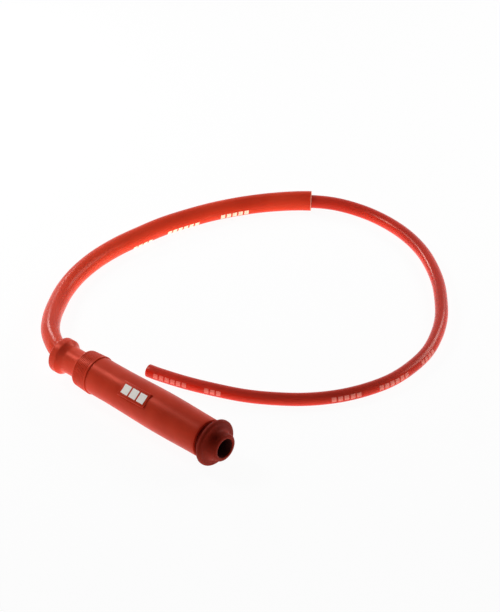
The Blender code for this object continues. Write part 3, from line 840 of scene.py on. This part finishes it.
def sweepTube(name, frames, rings, sides, material):
    # Rings are (frame index, shift along the path, radius); with the first one given again at
    # the end, the tube closes on itself
    verts, faces = [], []
    for index, shift, radius in rings:
        place, along, side, up = frames[index]
        for step in range(sides):
            angle = 2 * math.pi * step / sides
            outwards = side * math.cos(angle) + up * math.sin(angle)
            verts.append(place + along * shift + outwards * radius)
    for ring in range(len(rings) - 1):
        for step in range(sides):
            after = (step + 1) % sides
            low, high = ring * sides, (ring + 1) * sides
            faces.append((low + step, low + after, high + after, high + step))
    piece = addMeshPiece(name, verts, faces)
    bpy.ops.object.mode_set(mode="EDIT")
    bpy.ops.mesh.select_all(action="SELECT")
    bpy.ops.mesh.remove_doubles(threshold=tubeValues["mergeWithin"])
    bpy.ops.mesh.normals_make_consistent(inside=False)
    bpy.ops.object.mode_set(mode="OBJECT")
    bpy.ops.object.shade_smooth_by_angle(angle=math.radians(tubeValues["smoothAngle"]))
    piece.data.materials.append(material)
    return piece


def roundedEnd(index, radius, rounding):
    # Rings round the outer edge of a tube's far end
    rings = []
    for step in range(tubeValues["roundingSteps"] + 1):
        angle = math.pi / 2 * step / tubeValues["roundingSteps"]
        shift = (math.sin(angle) - 1) * rounding
        rings.append((index, shift, radius - rounding * (1 - math.cos(angle))))
    return rings


def buildLead(values, frames):
    last = len(frames) - 1
    rings = [(0, 0, values["nearHole"]), (0, 0, values["radius"])]
    rings += [(index, 0, values["radius"]) for index in range(1, last)]
    rings += roundedEnd(last, values["radius"], values["endRounding"])
    rings += [
        (last, 0, values["coreRadius"]), (last, -values["coreDepth"], values["coreFloor"]),
        (last, -values["coreDepth"], values["coreHole"]),
    ]
    piece = sweepTube("ignitionLead", frames, rings, values["sides"], leadRed)
    bpy.ops.object.mode_set(mode="EDIT")
    bpy.ops.mesh.select_all(action="SELECT")
    bpy.ops.mesh.fill_holes(sides=0)
    bpy.ops.object.mode_set(mode="OBJECT")
    return piece


def layOutSleeve(values, frames):
    # The lead's frames under the sleeve, and how far the sleeve is open at each
    def fromStart(index):
        return abs(frames[index][0].x - values["startX"]) + frames[index][0].y

    frames = frames[min(range(len(frames)), key=fromStart):]
    distances = distancesAlong([place for place, *_ in frames])
    last = next(index for index, far in enumerate(distances) if far >= values["length"])
    length = distances[last]
    shares = []
    for index in range(last + 1):
        toEnd = (last - index) * length / last
        shares.append(max(0, 1 - toEnd / values["openingLength"]) ** 2)
    # Where it opens, the sleeve also lies higher than the lead in it
    frames = [
        (place + Vector((0, 0, values["lift"] * share)), along, side, up)
        for (place, along, side, up), share in zip(frames, shares)
    ]
    return frames, shares, length


def buildSleeve(values, frames, shares):
    last = len(frames) - 1
    opened = [values["opening"] * share for share in shares]
    outer = [(index, 0, values["radius"] + opened[index]) for index in range(last)]
    outer += roundedEnd(last, values["radius"] + opened[last], values["endRounding"])
    inner = [(index, 0, values["boreRadius"] + opened[index]) for index in range(last, -1, -1)]
    return sweepTube("leadSleeve", frames, outer + inner + outer[:1], values["sides"], sleeveRed)


leadPath = smoothPath(leadRoute, leadValues["spacing"])
leadFrames = pathFrames(leadPath)
ignitionLead = buildLead(leadValues, leadFrames)
sleeveFrames, openShares, sleeveLength = layOutSleeve(sleeveValues, leadFrames)
leadSleeve = buildSleeve(sleeveValues, sleeveFrames, openShares)


def isOnCut(face):
    # On the sleeve's cut end and the rounding at its edge, which are painted pale pink
    end, along, *_ = sleeveFrames[-1]
    isNear = (face.center - end).length < 2 * sleeveValues["radius"]
    return isNear and face.normal.dot(along) > sleeveValues["cutFacing"]


paintFaces(leadSleeve, moulded["cut_silicone"], isOnCut)
print("lead", round(distancesAlong(leadPath)[-1], 4), "m, sleeve", round(sleeveLength, 4), "m")


# Conductor at the cut end: seven strands, just proud of the insulation
strandValues = {
    "radius": 0.3 * mm, "ring": 0.62 * mm, "length": 1.2 * mm, "proud": 0.35 * mm, "sides": 10,
    "around": 6, "edge": 0.08 * mm, "edgeSteps": 2, "smoothAngle": 40,
}


def buildStrands(values, frames):
    place, along, side, up = frames[-1]
    turn = Matrix((side, up, along)).transposed()
    around = values["around"]
    offsets = []
    for index in range(around):
        angle = 2 * math.pi * index / around
        offsets.append((side * math.cos(angle) + up * math.sin(angle)) * values["ring"])
    offsets.append(Vector((0, 0, 0)))      # the one in the middle
    strands = []
    for offset in offsets:
        centre = place + offset + along * (values["proud"] - values["length"] / 2)
        bpy.ops.object.select_all(action="DESELECT")
        bpy.ops.mesh.primitive_cylinder_add(
            vertices=values["sides"], radius=values["radius"], depth=values["length"],
            location=centre, rotation=turn.to_euler(),
        )
        strands.append(bpy.context.object)
        bpy.ops.object.transform_apply(location=True, rotation=True, scale=True)
    piece = joinPieces(strands, "leadStrands")
    softenEdges(piece, values["edge"], values["edgeSteps"])
    bpy.ops.object.shade_smooth_by_angle(angle=math.radians(values["smoothAngle"]))
    piece.data.materials.append(metals["copper_strand"])
    return piece


leadStrands = buildStrands(strandValues, leadFrames)


# Worn print along the sleeve and the lead: plain dashes in short and long groups
dashValues = {
    "facing": (0.7, -0.7), "gap": 0.9 * mm, "lift": 0.03 * mm, "thick": 0.05 * mm,
    "rows": 4, "columns": 6,
}
sleeveDashValues = {   # groups are (start along the cord, number of dashes, rise round the cord)
    **dashValues, "height": 3.0 * mm, "length": 2.5 * mm,
    "groups": [(0.148, 4, -0.6), (0.171, 6, -0.46), (0.2035, 5, -0.3)],
}
leadDashValues = {
    **dashValues, "height": 2.7 * mm, "length": 2.4 * mm,
    "groups": [
        (0.4335, 4, 0.14), (0.457, 6, 0.14), (0.4862, 5, 0.14),
        (0.5585, 3, 0.14), (0.5775, 6, 0.14),
    ],
}


def addDash(frames, distances, start, rise, values, radius):
    rows, columns = values["rows"], values["columns"]
    verts, faces = [], []
    for row in range(rows + 1):
        target = start + values["length"] * row / rows
        index = max(i for i, distance in enumerate(distances[:-1]) if distance <= target)
        share = (target - distances[index]) / (distances[index + 1] - distances[index])
        place = frames[index][0].lerp(frames[index + 1][0], share)
        along = frames[index][1].lerp(frames[index + 1][1], share).normalized()
        towards = Vector((*values["facing"], rise))
        facing = (towards - along * towards.dot(along)).normalized()
        across = along.cross(facing)
        for column in range(columns + 1):
            angle = values["height"] / radius * (column / columns - 0.5)
            outwards = facing * math.cos(angle) + across * math.sin(angle)
            verts.append(place + outwards * (radius + values["lift"]))
    for row in range(rows):
        for column in range(columns):
            low, high = row * (columns + 1) + column, (row + 1) * (columns + 1) + column
            faces.append((low, low + 1, high + 1, high))
    return verts, faces


def buildDashes(name, frames, values, radius, material):
    distances = distancesAlong([place for place, *_ in frames])
    verts, faces = [], []
    for start, count, rise in values["groups"]:
        for number in range(count):
            dashStart = start + number * (values["length"] + values["gap"])
            dashVerts, dashFaces = addDash(frames, distances, dashStart, rise, values, radius)
            faces += [tuple(len(verts) + corner for corner in face) for face in dashFaces]
            verts += dashVerts
    piece = addMeshPiece(name, verts, faces)
    wall = piece.modifiers.new("inkFilm", "SOLIDIFY")
    wall.thickness = values["thick"]
    wall.offset = -1
    bpy.ops.object.modifier_apply(modifier=wall.name)
    piece.data.materials.append(material)
    return piece


sleevePrint = buildDashes(
    "sleevePrint", sleeveFrames, sleeveDashValues, sleeveValues["radius"], moulded["cream_print"],
)
leadPrint = buildDashes(
    "leadPrint", leadFrames, leadDashValues, leadValues["radius"], moulded["worn_pale_print"],
)

for piece, node, slot in (
    (ignitionLead, "lead", "lead_red_silicone"), (leadSleeve, "lead_sleeve", "sleeve_red_silicone"),
):
    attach(piece, "root")
    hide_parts(node)
for piece in (leadStrands, sleevePrint, leadPrint):
    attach(piece, "root")
print("cords laid")


# Pieces carried from the model as they are, with their finishes
nodeFinishes = {
    "insulator": moulded["black_phenolic"], "plug_terminal": metals["turned_brass"],
    "terminal_clip": metals["spring_steel"], "front_end_cap": metals["spring_steel"],
    "resistor_rod": moulded["resistor_ceramic"], "rear_end_cap": metals["spring_steel"],
    "contact_spring": metals["spring_steel"], "lead_ferrule": metals["turned_brass"],
}
for node, material in nodeFinishes.items():
    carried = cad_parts[node]
    carried.data.materials.clear()
    carried.data.materials.append(material)
print("carried pieces painted")

bpy.context.view_layer.update()
